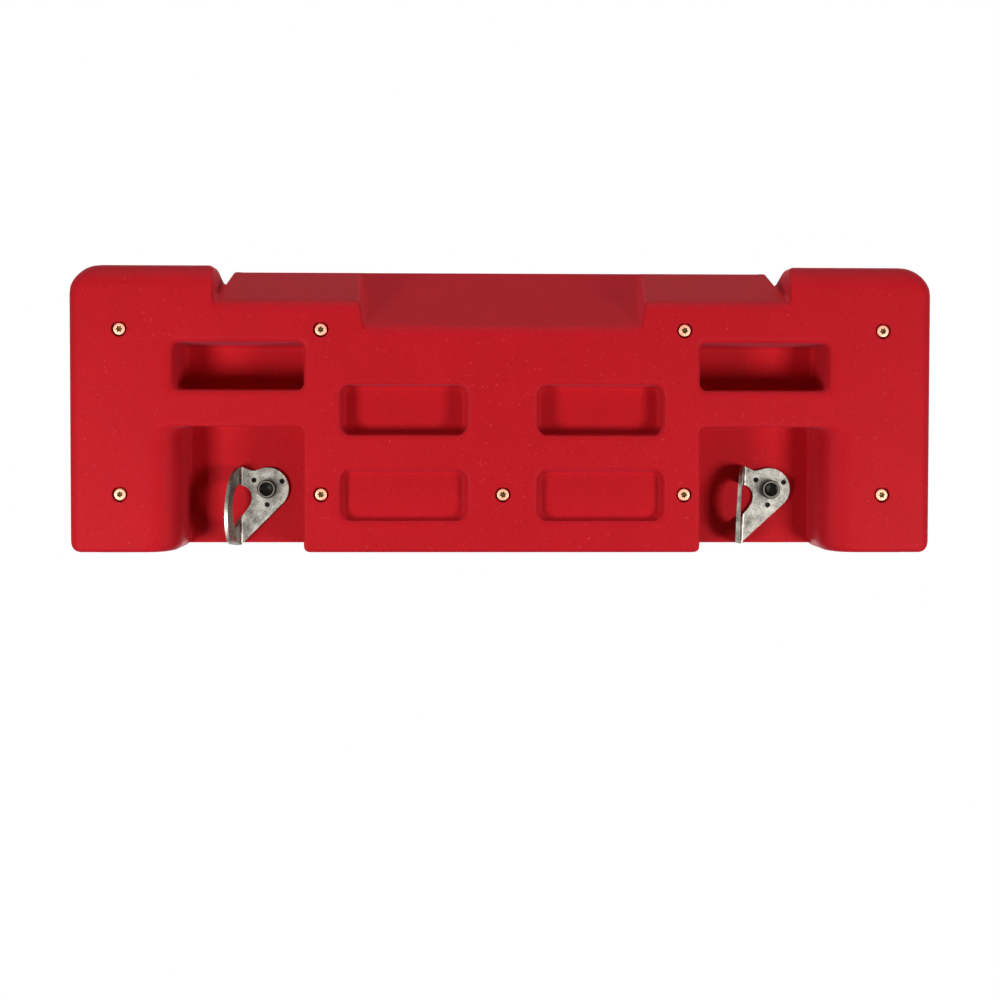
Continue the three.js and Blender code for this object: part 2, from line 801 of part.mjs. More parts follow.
// Places a cutter drawn in the ear's own plane: first value along the ear, second value up
function earPrism(points, from, to) {
  const { along, outward, corner } = hangerBend;
  const geometry = new THREE.ExtrudeGeometry(polygon(points.map(([reach, z]) => [z, reach])), {
    depth: to - from,
    bevelEnabled: false,
  });
  geometry.translate(0, 0, from);
  const up = new THREE.Vector3(0, 0, 1);
  const reachAxis = new THREE.Vector3(along.x, along.y, 0);
  const throughAxis = new THREE.Vector3(outward.x, outward.y, 0);
  geometry.applyMatrix4(new THREE.Matrix4().makeBasis(up, reachAxis, throughAxis));
  geometry.translate(corner.x, corner.y, 0);
  return solidOf(geometry);
}

function hanger() {
  const full = hangerTop + hangerFoot;
  const ear = smooth(earOutlineShares.map(([reach, rise]) => [
    reach * earReach, rise * full - hangerFoot,
  ]), earOutlineSteps);
  const plateSide = -hangerHeadRadius - hangerBendOffset - overrun;
  const earKeep = earPrism([
    [plateSide, hangerTop], ...ear, [plateSide, -hangerFoot],
  ], -boardWidth, boardWidth);
  const plateKeep = prism(hangerPlateOutline(), 'y', -2 * earReach, overrun);

  const bendHeight = eyeTop + eyeBendFoot;
  const plateEye = smooth(eyePlateShares.map(([reach, rise]) => [
    -hangerBendOffset + reach * eyePlateReach, rise * bendHeight - eyeBendFoot,
  ]), eyePlateSteps);
  const bendLeft = hangerBend.centre.x - hangerBendRadius - hangerThickness - overrun;
  const bendFront = -hangerThickness - hangerBendRadius;
  const eyeFall = (-hangerBendOffset - bendLeft) * Math.tan(radians(hangerLowerEdgeDegrees));
  const plateEyeCutter = prism(frontPolygon([
    [bendLeft, eyeTop], ...plateEye, [bendLeft, -eyeBendFoot - eyeFall],
  ]), 'y', bendFront, overrun);

  const earHeight = eyeTop + eyeLowest;
  const earEye = smooth(eyeEarShares.map(([reach, rise]) => [
    reach * eyeEarReach, rise * earHeight - eyeLowest,
  ]), eyeEarSteps);
  const earEyeCutter = earPrism(earEye, -leastRadius, 2 * hangerThickness);

  const bore = turned([
    [0, -overrun], [hangerHoleRadius, -overrun], [hangerHoleRadius, overrun], [0, overrun],
  ], boltSteps);
  const vent = turned([
    [0, -overrun], [ventHoleRadius, -overrun], [ventHoleRadius, overrun], [0, overrun],
  ], ventSteps);

  let solid = hangerStrip().intersect(earKeep).intersect(plateKeep);
  solid = solid.subtract(plateEyeCutter).subtract(earEyeCutter).subtract(bore);
  for (const degrees of ventAnglesDegrees) {
    const x = ventCircleRadius * Math.cos(radians(degrees));
    const z = ventCircleRadius * Math.sin(radians(degrees));
    solid = solid.subtract(vent.translate([x, 0, z]));
  }
  return geometryOf(solid);
}

// Materials
const castResin = new THREE.MeshStandardMaterial({ color: 0xc01822, roughness: 0.62, metalness: 0 });
const yellowZinc = new THREE.MeshStandardMaterial({ color: 0xd9b36a, roughness: 0.35, metalness: 1 });
const stainless = new THREE.MeshStandardMaterial({ color: 0xa8a49b, roughness: 0.42, metalness: 1 });
const blackOxide = new THREE.MeshStandardMaterial({ color: 0x1b1a1a, roughness: 0.45, metalness: 1 });
const brightZinc = new THREE.MeshStandardMaterial({ color: 0xb9bcbf, roughness: 0.35, metalness: 1 });

function piece(name, geometry, material) {
  const mesh = new THREE.Mesh(geometry, material);
  mesh.name = name;
  return mesh;
}

const hangboard = new THREE.Group();
hangboard.name = 'hangboard';
hangboard.add(piece('board_body', boardBody(), castResin));

const screwGeometry = woodScrew();
screwPlaces.forEach(([x, z], i) => {
  const screw = piece(`wood_screw_${i + 1}`, screwGeometry, yellowZinc);
  screw.position.set(x, 0, z);
  hangboard.add(screw);
});

const hangerGeometry = hanger();
const capGeometry = capScrew();
const insertGeometry = threadedInsert();
boltPlaces.forEach((x, i) => {
  const side = i === 0 ? 'left' : 'right';
  const plate = piece(`hanger_${side}`, hangerGeometry, stainless);
  plate.position.set(x, hangerBackY, boltZ);
  plate.rotation.y = i === 0 ? 0 : -radians(rightHangerTurnDegrees);
  const cap = piece(`cap_screw_${side}`, capGeometry, blackOxide);
  cap.position.set(x, capSeatY, boltZ);
  const insert = piece(`threaded_insert_${side}`, insertGeometry, brightZinc);
  insert.position.set(x, 0, boltZ);
  hangboard.add(plate, cap, insert);
});

export default hangboard;
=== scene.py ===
import math

import bmesh
import bpy
from bpy.props import FloatProperty, FloatVectorProperty, IntProperty, PointerProperty
from bpy.props import StringProperty
from mathutils import Matrix, Vector


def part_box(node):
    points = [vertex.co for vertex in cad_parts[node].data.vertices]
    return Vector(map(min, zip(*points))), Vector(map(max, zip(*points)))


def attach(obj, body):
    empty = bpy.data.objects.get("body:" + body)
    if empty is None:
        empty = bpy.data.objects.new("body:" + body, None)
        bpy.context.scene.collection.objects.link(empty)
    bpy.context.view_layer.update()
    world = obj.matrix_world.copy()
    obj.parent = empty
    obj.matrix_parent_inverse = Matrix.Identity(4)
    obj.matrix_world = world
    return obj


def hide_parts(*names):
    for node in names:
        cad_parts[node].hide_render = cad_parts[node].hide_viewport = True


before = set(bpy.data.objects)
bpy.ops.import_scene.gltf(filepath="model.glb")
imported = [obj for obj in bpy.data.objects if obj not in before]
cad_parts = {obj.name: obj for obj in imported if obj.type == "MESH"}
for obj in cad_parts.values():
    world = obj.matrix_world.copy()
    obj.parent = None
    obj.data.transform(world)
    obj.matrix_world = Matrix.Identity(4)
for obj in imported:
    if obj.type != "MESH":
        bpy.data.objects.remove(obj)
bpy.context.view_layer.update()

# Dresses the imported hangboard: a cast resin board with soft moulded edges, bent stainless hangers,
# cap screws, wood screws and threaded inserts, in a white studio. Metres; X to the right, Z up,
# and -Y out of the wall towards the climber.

bl_info = {
    "name": "Hangboard dresser",
    "version": (1, 0, 0),
    "blender": (4, 5, 0),
    "location": "View3D > Sidebar > Hangboard",
    "description": "Builds the finished surfaces of a wall-mounted hangboard and its studio",
    "category": "Object",
}

MM = 0.001
WELD = 0.001 * MM
SHARP_DEGREES = 38

SIDES = ("left", "right")
SCREW_NODES = [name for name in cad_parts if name.startswith("wood_screw")]


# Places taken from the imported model

def low_corner(node):
    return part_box(node)[0]


def high_corner(node):
    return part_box(node)[1]


def middle(node):
    low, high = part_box(node)
    return (low + high) / 2


# Mesh helpers

def catmull_rom(points, steps):
    """Points spaced along a smooth curve through the given ones."""
    spans = len(points) - 1
    curve = []
    for step in range(steps + 1):
        along = step / steps * spans
        i = min(int(along), spans - 1)
        t = along - i
        p0, p1 = Vector(points[max(i - 1, 0)]), Vector(points[i])
        p2, p3 = Vector(points[i + 1]), Vector(points[min(i + 2, spans)])
        v1, v2 = (p2 - p0) / 2, (p3 - p1) / 2
        curve.append(
            p1 + v1 * t + (3 * (p2 - p1) - 2 * v1 - v2) * t ** 2
            + (2 * (p1 - p2) + v1 + v2) * t ** 3
        )
    return curve


def set_ring(verts, radius, y):
    """Puts verts on a circle round the Y axis; radius is a number, or a function of the angle."""
    for vert in verts:
        angle = math.atan2(vert.co.z, vert.co.x)
        reach = radius(angle) if callable(radius) else radius
        vert.co = Vector((reach * math.cos(angle), y, reach * math.sin(angle)))


def ring(mesh, radius, y, steps):
    turn = Matrix.Rotation(math.pi / 2, 4, "X")
    made = bmesh.ops.create_circle(
        mesh, cap_ends=False, segments=steps, radius=1.0, matrix=turn)["verts"]
    set_ring(made, radius, y)
    return list({edge for vert in made for edge in vert.link_edges})


def stacked(mesh, profile, steps, closed=False):
    """A turned piece, each ring extruded from the last; its ends are capped, or met if closed."""
    edges = ring(mesh, *profile[0], steps)
    ends = [edges]
    for radius, y in profile[1:] + profile[:1] * closed:
        grown = bmesh.ops.extrude_edge_only(mesh, edges=edges)["geom"]
        verts = {item for item in grown if isinstance(item, bmesh.types.BMVert)}
        edges = [
            item for item in grown
            if isinstance(item, bmesh.types.BMEdge) and verts.issuperset(item.verts)
        ]
        set_ring(verts, radius, y)
    ends.append(edges)
    if closed:
        met = {vert for end in ends for edge in end for vert in edge.verts}
        bmesh.ops.remove_doubles(mesh, verts=list(met), dist=WELD)
        return
    for end in ends:
        bmesh.ops.contextual_create(mesh, geom=end)


def rounded_box(size, corner, inset):
    """The distance from the middle to the edge of a rounded rectangle, by direction."""
    round_x, round_z = size[0] / 2 - corner, size[1] / 2 - corner
    radius = corner - inset

    def reach(angle):
        x, z = abs(math.cos(angle)), abs(math.sin(angle))
        if (round_x + radius) * z <= round_z * x:
            return (round_x + radius) / x
        if (round_z + radius) * x <= round_x * z:
            return (round_z + radius) / z
        along = x * round_x + z * round_z
        return along + math.sqrt(along ** 2 - round_x ** 2 - round_z ** 2 + radius ** 2)

    return reach


def outward(mesh):
    bmesh.ops.recalc_face_normals(mesh, faces=mesh.faces)


def into_object(mesh, name):
    data = bpy.data.meshes.new(name)
    mesh.to_mesh(data)
    mesh.free()
    thing = bpy.data.objects.new(name, data)
    bpy.context.scene.collection.objects.link(thing)
    return thing


def bake(thing):
    """Gives the object the mesh that its modifiers make."""
    graph = bpy.context.evaluated_depsgraph_get()
    made = bpy.data.meshes.new_from_object(thing.evaluated_get(graph))
    plain = thing.data
    thing.modifiers.clear()
    thing.data = made
    bpy.data.meshes.remove(plain)


def shade(thing, degrees=SHARP_DEGREES):
    """Smooth faces, with edges kept crisp where they turn by more than an angle."""
    thing.data.shade_smooth()
    thing.data.set_sharp_from_angle(angle=math.radians(degrees))


def fit(thing, node, body, material):
    thing.data.materials.clear()
    thing.data.materials.append(material)
    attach(thing, body)
    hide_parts(node)


# Material helpers

def linear(value):
    """A #rrggbb colour as linear red, green, blue and alpha."""
    channels = [int(value[i:i + 2], 16) / 255 for i in (1, 3, 5)]
    return [c / 12.92 if c <= 0.04045 else ((c + 0.055) / 1.055) ** 2.4 for c in channels] + [1.0]


def add(tree, kind, inputs=None, **settings):
    """A node with its settings; an input is a value, or the socket that feeds it."""
    node = tree.nodes.new(kind)
    for name, value in settings.items():
        setattr(node, name, value)
    for socket, value in (inputs or {}).items():
        if isinstance(value, bpy.types.NodeSocket):
            tree.links.new(value, node.inputs[socket])
        else:
            node.inputs[socket].default_value = value
    return node


def new_material(name, **surface):
    """A material, its node tree, its shader with uniform values set, and Object coordinates."""
    material = bpy.data.materials.new(name)
    material.use_nodes = True
    tree = material.node_tree
    shader = tree.nodes["Principled BSDF"]
    for socket, value in surface.items():
        shader.inputs[socket.replace("_", " ")].default_value = value
    place = add(tree, "ShaderNodeTexCoord").outputs["Object"]
    return material, tree, shader, place


def noise(tree, place, size_mm, detail, roughness):
    """Noise with features of a size in millimetres."""
    return add(tree, "ShaderNodeTexNoise", {
        "Vector": place, "Scale": 1 / (size_mm * MM), "Detail": detail, "Roughness": roughness,
    }).outputs["Fac"]


def spread(tree, value, span, result=(0.0, 1.0)):
    """The value, stretched from a span to a result and held at its ends."""
    return add(tree, "ShaderNodeMapRange", {
        "Value": value, "From Min": span[0], "From Max": span[1],
        "To Min": result[0], "To Max": result[1],
    }).outputs["Result"]


def blend(tree, share, first, second):
    """A colour between two, by a share from zero to one."""
    return add(tree, "ShaderNodeMix", {
        "Factor": share, "A": first, "B": second,
    }, data_type="RGBA").outputs["Result"]


def relief(tree, height, distance, strength, **beneath):
    """A bumped normal, on top of any that is beneath."""
    return add(tree, "ShaderNodeBump", {
        "Height": height, "Distance": distance, "Strength": strength, **beneath,
    }).outputs["Normal"]


def with_painted_shade(tree, clean, shade_colour):
    """The clean colour, turned to a dark colour of painted shade where the mesh's attribute says so.
    """
    grime = add(tree, "ShaderNodeAttribute", attribute_name="grime")
    return blend(tree, grime.outputs["Fac"], clean, linear(shade_colour))


def feed(tree, shader, colour, rough, normal):
    for socket, source in (("Base Color", colour), ("Roughness", rough), ("Normal", normal)):
        tree.links.new(source, shader.inputs[socket])


# Most of a noise's values lie between these
NOISE_CORE = (0.3, 0.7)
RESIN_UNEVENNESS = 0.06
PLATING_UNEVENNESS = (-0.06, 0.08)


def cast_polyurethane(board):
    """Polyurethane resin cast in a sandblasted mould: satin, with a fine sandy tooth."""
    # The sheen is dust and chalk in the tooth, a cool haze where a face is met at a glance
    material, tree, shader, place = new_material(
        "cast_polyurethane_sand_texture", IOR=1.5, Specular_IOR_Level=board.gloss,
        Sheen_Weight=board.haze, Sheen_Roughness=0.7, Sheen_Tint=linear("#d4d4ff"))
    # Sand grains are about 0.5 mm; they are drawn larger, so that they show from a metre away
    grain = noise(tree, place, board.grain_mm, detail=3.0, roughness=0.6)
    # Cloudiness of the pigment in the poured resin, tens of millimetres across
    cloud = noise(tree, place, board.cloud_mm, detail=4.0, roughness=0.55)
    red = blend(tree, cloud, tuple(board.red_deep), tuple(board.red_light))
    tooth = spread(tree, grain, NOISE_CORE, result=(0.9, 1.1))
    toned = add(tree, "ShaderNodeVectorMath", {0: red, "Scale": tooth}, operation="SCALE")
    # Sparse pale pin-heads where a grain's tip is rubbed bright by hands
    tips = noise(tree, place, board.tip_mm, detail=2.0, roughness=0.5)
    rubbed = spread(tree, tips, span=(0.66, 0.78), result=(0.0, 0.35))
    colour = blend(tree, rubbed, toned.outputs["Vector"], tuple(board.red_rubbed))
    rough = spread(tree, grain, NOISE_CORE, result=(
        board.roughness - RESIN_UNEVENNESS, board.roughness + RESIN_UNEVENNESS))
    # The mould's long, barely visible unevenness under the sandy tooth
    swell = relief(tree, cloud, distance=0.5 * MM, strength=0.5)
    sand = relief(tree, grain, distance=0.12 * MM, strength=0.8, Normal=swell)
    feed(tree, shader, colour, rough, sand)
    return material


def tumbled_stainless(steel):
    """Stainless sheet, tumbled with stones: grey and finely pitted under a thin dull film."""
    material, tree, shader, place = new_material("tumbled_stainless_sheet", Metallic=0.75)
    # Stones leave fine marks, and bruise some patches more than others
    pits = noise(tree, place, steel.pit_mm, detail=4.0, roughness=0.65)
    smear = noise(tree, place, size_mm=9, detail=3.0, roughness=0.6)
    marks = add(tree, "ShaderNodeMath", {0: pits, 1: smear}, operation="ADD")
    tone = spread(tree, marks.outputs[0], span=(0.78, 1.2))
    grey = blend(tree, tone, tuple(steel.colour_dark), tuple(steel.colour_light))
    # Dirt gathers in the vents and in the hollow of the bend
    # Painted shade: near black in the vents, darker through the bend and on the ear's inner face
    colour = with_painted_shade(tree, grey, "#120806")
    # The film dulls the patches unevenly
    rough = spread(tree, smear, NOISE_CORE, result=(0.26, 0.42))
    feed(tree, shader, colour, rough, relief(tree, pits, distance=0.06 * MM, strength=0.7))
    return material


def plated_steel(name, dark, light, roughness, blotch_mm, front=None):
    """Steel with a thin plated or converted skin, a little blotchy from the bath.

    front is the driven face's Y, the Y by which its partly painted colour ends, and that colour.
    """
    material, tree, shader, place = new_material(name, Metallic=1.0)
    blotch = noise(tree, place, blotch_mm, detail=4.0, roughness=0.6)
    colour = blend(tree, spread(tree, blotch, span=(0.35, 0.65)), linear(dark), linear(light))
    # Face colour: a painted highlight on cap screws, tint and painted reflection on wood screws
    if front:
        face, end, face_light_colour = front
        depth = add(tree, "ShaderNodeSeparateXYZ", {"Vector": place})
        nearness = spread(tree, depth.outputs["Y"], span=(face, end), result=(1.0, 0.0))
        colour = blend(tree, nearness, colour, linear(face_light_colour))
    # Painted shade in the drives' recesses, where the mesh marks it
    shaded_colour = with_painted_shade(tree, colour, "#4a3f22")
    rough = spread(
        tree, blotch, NOISE_CORE, result=[roughness + change for change in PLATING_UNEVENNESS])
    feed(tree, shader, shaded_colour, rough, relief(tree, blotch, distance=0.02 * MM, strength=0.5))
    return material


# Sizes and colours that a user would change

def number(name, description, default, **settings):
    return FloatProperty(name=name, description=description, default=default, **settings)


def length(name, description, default, **limits):
    return number(name, description, default, subtype="DISTANCE", unit="LENGTH", **limits)


def angle_in_degrees(name, description, degrees):
    return number(name, description, math.radians(degrees), subtype="ANGLE", unit="ROTATION")


def factor(name, description, default):
    return number(name, description, default, min=0, max=1, subtype="FACTOR")


def power(name, description, default):
    return number(name, description, default, subtype="POWER", unit="POWER")


def paint(name, description, value):
    return FloatVectorProperty(
        name=name, description=description, subtype="COLOR", size=4, default=linear(value))


class HangboardBoard(bpy.types.PropertyGroup):
    voxel: length(
        "Skin cell", "Cell size of the board's skin before it is smoothed",
        1.15 * MM, min=0.8 * MM)
    soften: IntProperty(
        name="Edge softening", description="Smoothing passes over the whole skin",
        default=2, min=0)
    soften_broad: IntProperty(
        name="Broad softening", description="Further passes over the slopers and outer roundings",
        default=18, min=0)
    faces: IntProperty(
        name="Skin faces", description="Triangles kept in the board's skin", default=170000)
    hole_radius: length("Counterbore radius", "Radius of a screw hole's mouth", 6.4 * MM)
    hole_chamfer: length("Mouth chamfer", "Chamfer round a screw hole's mouth", 0.45 * MM)
    hole_bore: length("Clearance radius", "Radius of a screw's clearance bore", 3.3 * MM)
    pocket_lip: length(
        "Pocket lip", "How far a centre pocket's walls are cut into its soft rim", 1.2 * MM)
    pocket_foot: length(
        "Pocket foot", "Rounding at the foot of a centre pocket's walls", 3.5 * MM)
    red_deep: paint("Deep red", "Resin where the pigment is densest", "#bb0c17")
    red_light: paint("Light red", "Resin where the pigment is thinnest", "#c80f1c")
    red_rubbed: paint("Rubbed red", "Grain tips rubbed bright", "#e0525a")
    roughness: factor("Roughness", "Mean roughness of the resin", 0.6)
    gloss: factor("Gloss", "Specular level of the resin", 0.11)
    haze: factor("Haze", "Weight of the dusty sheen", 0.04)
    grain_mm: number("Grain", "Size of the drawn sand grains in millimetres", 1.3)
    tip_mm: number("Rubbed tips", "Spacing of the rubbed grain tips in millimetres", 2.4)
    cloud_mm: number("Cloud", "Size of the pigment clouds in millimetres", 38.0)


class HangboardHanger(bpy.types.PropertyGroup):
    thickness: length("Sheet", "Thickness of the hanger's sheet", 3 * MM)
    bend_radius: length("Bend", "Inner radius of the bend", 3 * MM)
    bend_offset: length("Bend offset", "From the bolt to the corner of the bend", 22.7 * MM)
    ear_lean: angle_in_degrees("Ear lean", "How far the ear leans out from square", 12)
    right_turn: angle_in_degrees(
        "Right hanger's turn", "Turn of the right hanger on its bolt", 2.5)
    edge: length("Edge", "Width of the tumbled edges", 0.75 * MM)
    # How dark the painted shade and dark reflection inside the bend and on the ear are
    bend_painted_shade: factor("Bend grime", "How dirty the inside of the bend and of the ear is", 0.4)
    pit_mm: number("Pits", "Size of the tumbling marks in millimetres", 1.0)
    colour_dark: paint("Dark steel", "Steel in the tumbling marks", "#6a675f")
    colour_light: paint("Light steel", "Steel between the tumbling marks", "#bfbab0")


class HangboardFixings(bpy.types.PropertyGroup):
    thread_pitch: length("Thread pitch", "Pitch of the wood screws' thread", 3.6 * MM)
    thread_root: length("Thread root", "Root radius of the wood screws' thread", 2.1 * MM)
    zinc_colour: StringProperty(
        name="Wood screw colour", description="Lightest tone of the yellow zinc",
        default="#e3cc96")
    # Partly the zinc's own tint, partly a painted reflection of the red board
    head_tint_and_reflection: StringProperty(
        name="Screw head colour", description="Zinc where the driver has rubbed the yellow off",
        default="#f3ab8e")
    cap_colour: StringProperty(
        name="Cap screw colour", description="Lightest tone of the black oxide", default="#282624")
    # Painted highlight: the lighter ring on the cap screws' faces
    face_highlight_colour: StringProperty(
        name="Worn colour", description="Steel where the oxide is worn off the cap screws' faces",
        default="#6a665f")


class HangboardStudio(bpy.types.PropertyGroup):
    left_energy: power("Left lamp", "Power of the soft lamp low on the left", 7.65)
    right_energy: power("Right lamp", "Power of the soft lamp low on the right", 6.85)
    top_energy: power("Top lamp", "Power of the wide lamp above the climber's head", 6.9)
    back_energy: power("Back lamp", "Power of the wide lamp low behind the board", 9.0)
    lamp_size: length("Lamp size", "Side of each soft lamp", 0.28)
    top_size: length("Wide lamp size", "Side of the lamps above and behind", 1.0)
    ambient: number("Ambient", "Strength of the light that comes from all round", 0.02)
    floor_drop: length("Floor", "How far the floor is below the board's middle", 2.1)


# The cast board

POCKET_SIZE = (102.5 * MM, 40 * MM)
POCKET_CORNER = 8 * MM
POCKET_DRAFT = 1 * MM
# How far down a centre pocket's wall is square to the board's face, and how far in from the foot
# the cutter's last ring lies
POCKET_SQUARE = 5 * MM
POCKET_LAST_RING = 1 * MM
POCKET_MIDDLE = 81.15 * MM
# Each row of centre pockets: its Z, and its depth with a hair more, to clear the skin below
POCKET_ROWS = ((-71.2 * MM, 10.2 * MM), (-1.1 * MM, 20.2 * MM))
POCKET_STEPS = 160
FOOT_STEPS = 4

# The parts of the skin that are smoothed further: spans from the board's end, drops from its top,
# a rise from its foot and depths from its face
GROOVE_SPAN = (104 * MM, 132 * MM)
GROOVE_DROP = 24 * MM
SLOPER_DROP = 56 * MM
END_SPAN = 24 * MM
OUTER_EDGE_SPAN = (64 * MM, 94 * MM)
LEDGE_RISE = 103 * MM
NICHE_EDGE_DEPTH = 22 * MM
POCKET_EDGE_DEPTH = 9 * MM

# How far a stop reaches past its hole, a cutter past the board, and a screw's seat past its face
STOP_MARGIN = 1.2 * MM
CUTTER_MARGIN = 4 * MM
SEAT_DROP = 2.6 * MM

INSERT_BORE = 5.05 * MM
INSERT_BARREL = 6.25 * MM
INSERT_FLANGE = 1.6 * MM
INSERT_GAP = 0.3 * MM


class HANGBOARD_OT_board(bpy.types.Operator):
    """Builds the board's cast skin: soft moulded edges and clean screw holes"""
    bl_idname = "hangboard.board"
    bl_label = "Cast board"

    def execute(self, context):
        board = context.scene.hangboard_board
        skin = self.skin(board)
        cutter = self.cutter(board)
        cut = skin.modifiers.new("holes", "BOOLEAN")
        cut.operation = "DIFFERENCE"
        cut.solver = "EXACT"
        cut.object = cutter
        bake(skin)
        bpy.data.objects.remove(cutter)
        shade(skin)
        fit(skin, "board_body", "board", cast_polyurethane(board))
        return {"FINISHED"}

    def skin(self, board):
        """A merged copy of the solid with its holes stopped up, re-skinned finely and smoothed."""
        low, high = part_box("board_body")
        mesh = bmesh.new()
        mesh.from_mesh(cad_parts["board_body"].data)
        bmesh.ops.remove_doubles(mesh, verts=mesh.verts, dist=WELD)
        stops = [(node, low.y, board.hole_radius) for node in SCREW_NODES]
        for side in SIDES:
            insert = f"threaded_insert_{side}"
            reach = (high_corner(insert).x - low_corner(insert).x) / 2
            floor = high_corner(f"hanger_{side}").y
            stops.append((insert, floor, reach))
        for node, front, radius in stops:
            x, _, z = middle(node)
            depth = high.y - front
            turn = Matrix.Rotation(math.pi / 2, 4, "X")
            bmesh.ops.create_cone(
                mesh, cap_ends=True, segments=40, depth=depth,
                radius1=radius + STOP_MARGIN, radius2=radius + STOP_MARGIN,
                matrix=Matrix.Translation((x, front + depth / 2, z)) @ turn)
        skin = into_object(mesh, "cast_board")
        remesh = skin.modifiers.new("skin", "REMESH")
        remesh.mode = "VOXEL"
        remesh.voxel_size = board.voxel
        bake(skin)
        group = skin.vertex_groups.new(name="broad")
        broad = [vert.index for vert in skin.data.vertices if self.is_broad(vert.co, low, high)]
        group.add(broad, 1.0, "REPLACE")
        for name, where, passes in (
            ("soften", "", board.soften), ("soften broad", "broad", board.soften_broad),
        ):
            smooth = skin.modifiers.new(name, "SMOOTH")
            smooth.factor = 0.5
            smooth.iterations = passes
            smooth.vertex_group = where
        bake(skin)
        triangles = 2 * len(skin.data.polygons)
        thin = skin.modifiers.new("thin", "DECIMATE")
        thin.ratio = min(1.0, board.faces / triangles)
        bake(skin)
        return skin

    def is_broad(self, place, low, high):
        """True on the slopers, the brows, the ends and each niche's soft outer edge."""
        end = high.x - abs(place.x)
        if GROOVE_SPAN[0] < end < GROOVE_SPAN[1] and place.z > high.z - GROOVE_DROP:
            return False
        if place.z > high.z - SLOPER_DROP or end < END_SPAN:
            return True
        below_ledge = place.z < low.z + LEDGE_RISE
        reach = NICHE_EDGE_DEPTH if below_ledge else POCKET_EDGE_DEPTH
        return OUTER_EDGE_SPAN[0] < end < OUTER_EDGE_SPAN[1] and place.y < low.y + reach

    def cutter(self, board):
        """One cutter for the screw holes, the insert seats and the centre pockets' walls."""
        low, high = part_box("board_body")
        front_end, back_end = low.y - CUTTER_MARGIN, high.y + CUTTER_MARGIN
        mesh = bmesh.new()
        for node in SCREW_NODES:
            x, _, z = middle(node)
            seat = low_corner(node).y + SEAT_DROP
            self.turned(mesh, [
                (board.hole_radius + board.hole_chamfer + CUTTER_MARGIN, front_end),
                (board.hole_radius, low.y + board.hole_chamfer),
                (board.hole_radius, seat),
                (board.hole_bore, seat + board.hole_radius - board.hole_bore),
                (board.hole_bore, back_end),
            ], x, z)
        for side in SIDES:
            insert = f"threaded_insert_{side}"
            x, _, z = middle(insert)
            front, back = low_corner(insert), high_corner(insert)
            bore, barrel = INSERT_BORE + INSERT_GAP, INSERT_BARREL + INSERT_GAP
            flange = (back.x - front.x) / 2 + INSERT_GAP
            shoulder = back.y - INSERT_FLANGE - INSERT_GAP
            self.turned(mesh, [
                (bore, high_corner(f"hanger_{side}").y - CUTTER_MARGIN),
                (bore, front.y - INSERT_GAP),
                (barrel, front.y - INSERT_GAP),
                (barrel, shoulder),
                (flange, shoulder),
                (flange, back_end),
            ], x, z)
        for z, depth in POCKET_ROWS:
            for x in (-POCKET_MIDDLE, POCKET_MIDDLE):
                self.turned(mesh, self.pocket(board, low.y, depth), x, z, POCKET_STEPS)
        outward(mesh)
        return into_object(mesh, "hole_cutter")

    def pocket(self, board, mouth, depth):
        """Rings that cut a centre pocket's walls back, so that they meet its soft rim crisply."""
        wall = POCKET_DRAFT - board.pocket_lip
        rings = [(-board.pocket_lip, -CUTTER_MARGIN), (-board.pocket_lip, POCKET_SQUARE)]
        for step in range(FOOT_STEPS + 1):
            angle = math.radians(90 * step / FOOT_STEPS)
            inset = wall + board.pocket_foot * (1 - math.cos(angle))
            rings.append((inset, depth - board.pocket_foot * (1 - math.sin(angle))))
        rings.append((wall + board.pocket_foot + POCKET_LAST_RING, depth))
        return [(rounded_box(POCKET_SIZE, POCKET_CORNER, inset), mouth + y) for inset, y in rings]

    def turned(self, mesh, profile, x, z, steps=48):
        before = set(mesh.verts)
        stacked(mesh, profile, steps)
        fresh = [vert for vert in mesh.verts if vert not in before]
        bmesh.ops.translate(mesh, verts=fresh, vec=(x, 0, z))


# Wood screws

# Rounded rim of the head: how far in from its edge, and how far behind its face
HEAD_RIM = (
    (1.5 * MM, 0), (0.9 * MM, 0.08 * MM), (0.4 * MM, 0.26 * MM), (0.1 * MM, 0.5 * MM),
    (0, 0.85 * MM),
)
STAR_RADIUS = 2.25 * MM
STAR_LOBE = 0.4 * MM
STAR_BEVEL = 0.12 * MM
STAR_FLOOR_SHARE = 0.8
STAR_DEPTH = 0.95 * MM
STAR_POINT_DEPTH = 1.25 * MM
# Painted shade in the star recess: its reach from the axis, and a span behind the head's face
STAR_SHADE_REACH = 2.8 * MM
STAR_SHADE_SPAN = (0.05 * MM, 1.3 * MM)
# Where the head's face is painted rose, fading out over a span behind it
HEAD_FACE_SPAN = (0.9 * MM, 1.6 * MM)
SCREW_STEPS = 48
SCREW_TURN_DEGREES = 37
SHANK_RADIUS = 2.2 * MM
NECK_STEP = 0.5 * MM
NECK_LENGTH = 1.2 * MM
BLUNT_POINT = 0.1 * MM
POINT_LENGTH = 8 * MM
POINT_TIP = (0.12 * MM, 0.3 * MM)
THREAD_LENGTH = 60 * MM
THREAD_TAPER = 1 * MM
THREAD_CREST = 3 * MM
# How far the thread's foot is sunk in the core, and the thread's half widths at foot and crest
THREAD_SINK = 0.15 * MM
THREAD_FOOT = 0.75 * MM
THREAD_EDGE = 0.1 * MM
THREAD_RUN_IN = 2 * MM
THREAD_RUN_OUT = 1.5 * MM
THREAD_STEPS = 20


